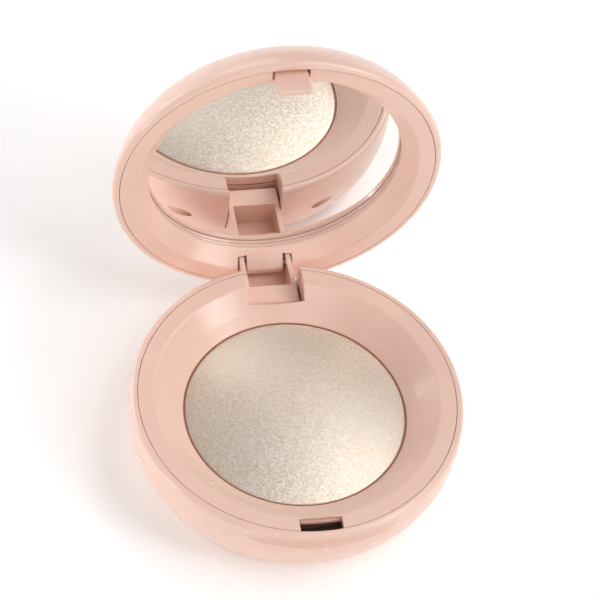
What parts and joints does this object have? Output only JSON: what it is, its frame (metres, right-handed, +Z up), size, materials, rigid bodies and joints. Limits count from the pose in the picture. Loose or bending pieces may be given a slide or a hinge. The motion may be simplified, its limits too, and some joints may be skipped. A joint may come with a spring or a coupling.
{
  "type": "powder compact",
  "caption": "Round cosmetic compact with a domed lid and mirror, a pressed powder dome in a pan, a latch hook and a pinned link hinge.",
  "frame": {"origin": "centre of the flat foot of the base", "axes": "+Z up out of the foot, +Y from the latch towards the hinge, +X to the right as seen from the latch; modelled with the lid open"},
  "size_m": [0.06, 0.0776, 0.0646],
  "materials": {
    "base_plastic": "gloss",
    "tray_plastic": "gloss",
    "link_plastic": "gloss",
    "lid_plastic": "gloss",
    "frame_plastic": "gloss",
    "mirror_glass": "mirror",
    "pan_metal": "satin",
    "powder": "shimmer powder",
    "pin_steel": "ground",
    "adhesive": "matte",
    "tape": "matte"
  },
  "bodies": {
    "base": {"base_shell": "base_plastic", "inner_tray": "tray_plastic", "powder_pan": "pan_metal", "pan_adhesive": "adhesive", "powder_cake": "powder", "base_hinge_pin": "pin_steel"},
    "link": {"hinge_link": "link_plastic"},
    "lid": {"lid_shell": "lid_plastic", "mirror_frame": "frame_plastic", "mirror": "mirror_glass", "mirror_tape": "tape", "lid_hinge_pin": "pin_steel"}
  },
  "joints": [
    {"name": "link_pivot", "type": "hinge", "parent": "base", "child": "link", "pos_m": [0, 0.0263, 0.00881], "axis": [1, 0, 0], "range_deg": [0, 92.5]},
    {"name": "lid_pivot", "type": "hinge", "parent": "link", "child": "lid", "pos_m": [0, 0.03558, 0.00851], "axis": [1, 0, 0], "range_deg": [0, 1.5]}
  ]
}
